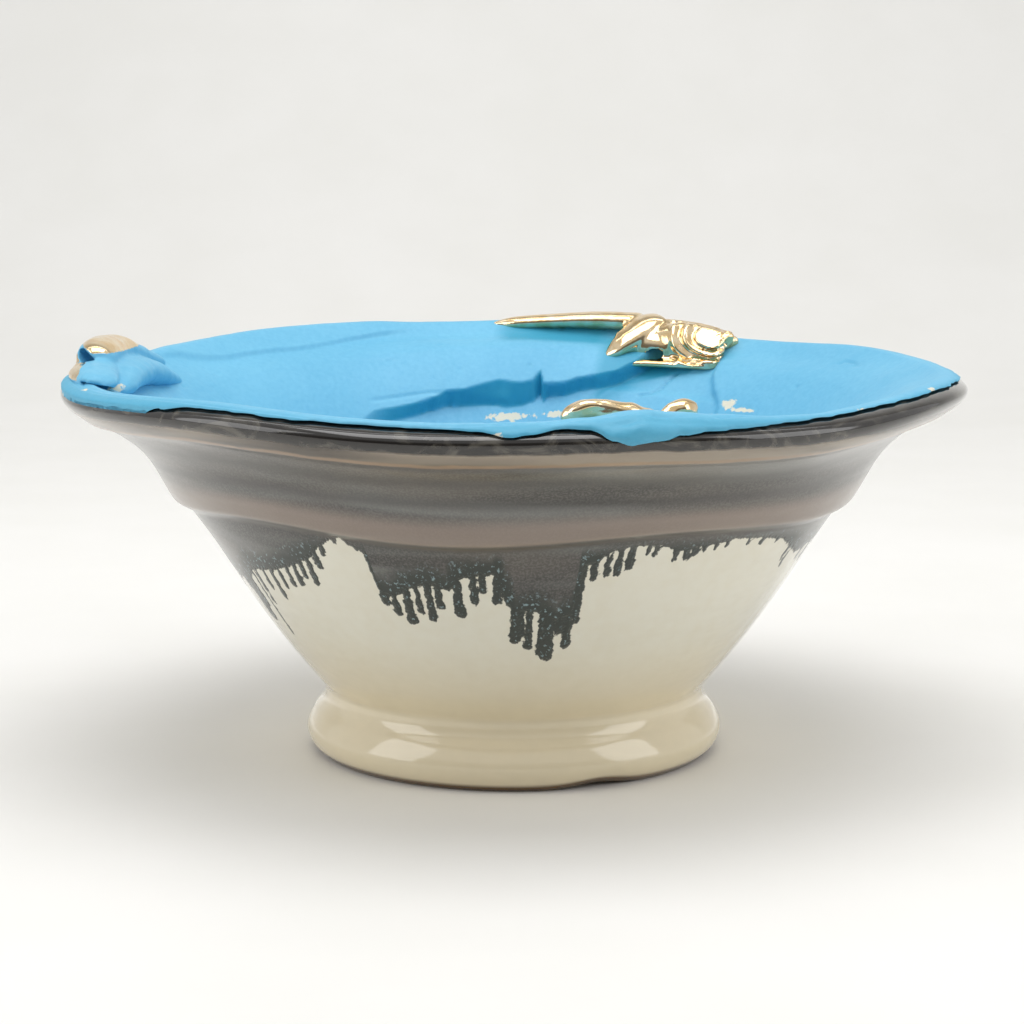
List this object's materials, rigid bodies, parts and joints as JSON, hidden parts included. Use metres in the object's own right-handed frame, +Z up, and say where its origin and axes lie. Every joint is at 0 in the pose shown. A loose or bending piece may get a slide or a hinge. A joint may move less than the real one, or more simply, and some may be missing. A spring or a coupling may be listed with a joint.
{
  "type": "bowl",
  "caption": "Hand-thrown footed ceramic bowl with a flared rim, a step line round the wall and a thick blue slip lining that laps over the lip and stands up in gilded folds.",
  "frame": {"origin": "on the table, under the middle of the foot ring", "axes": "+Z up along the bowl's axis; the pictured front, with the slip flap over the lip, faces -Y"},
  "size_m": [0.2118, 0.2137, 0.0986],
  "materials": {
    "glazed_clay": "glossy cream glaze under a dark grey-brown glaze that runs down from the rim in green-black fingers",
    "blue_slip": "matt sky-blue slip, with a polished gold lustre film on its folds"
  },
  "bodies": {
    "root": {"bowl": "glazed_clay", "slip_lining": "blue_slip"}
  },
  "joints": []
}
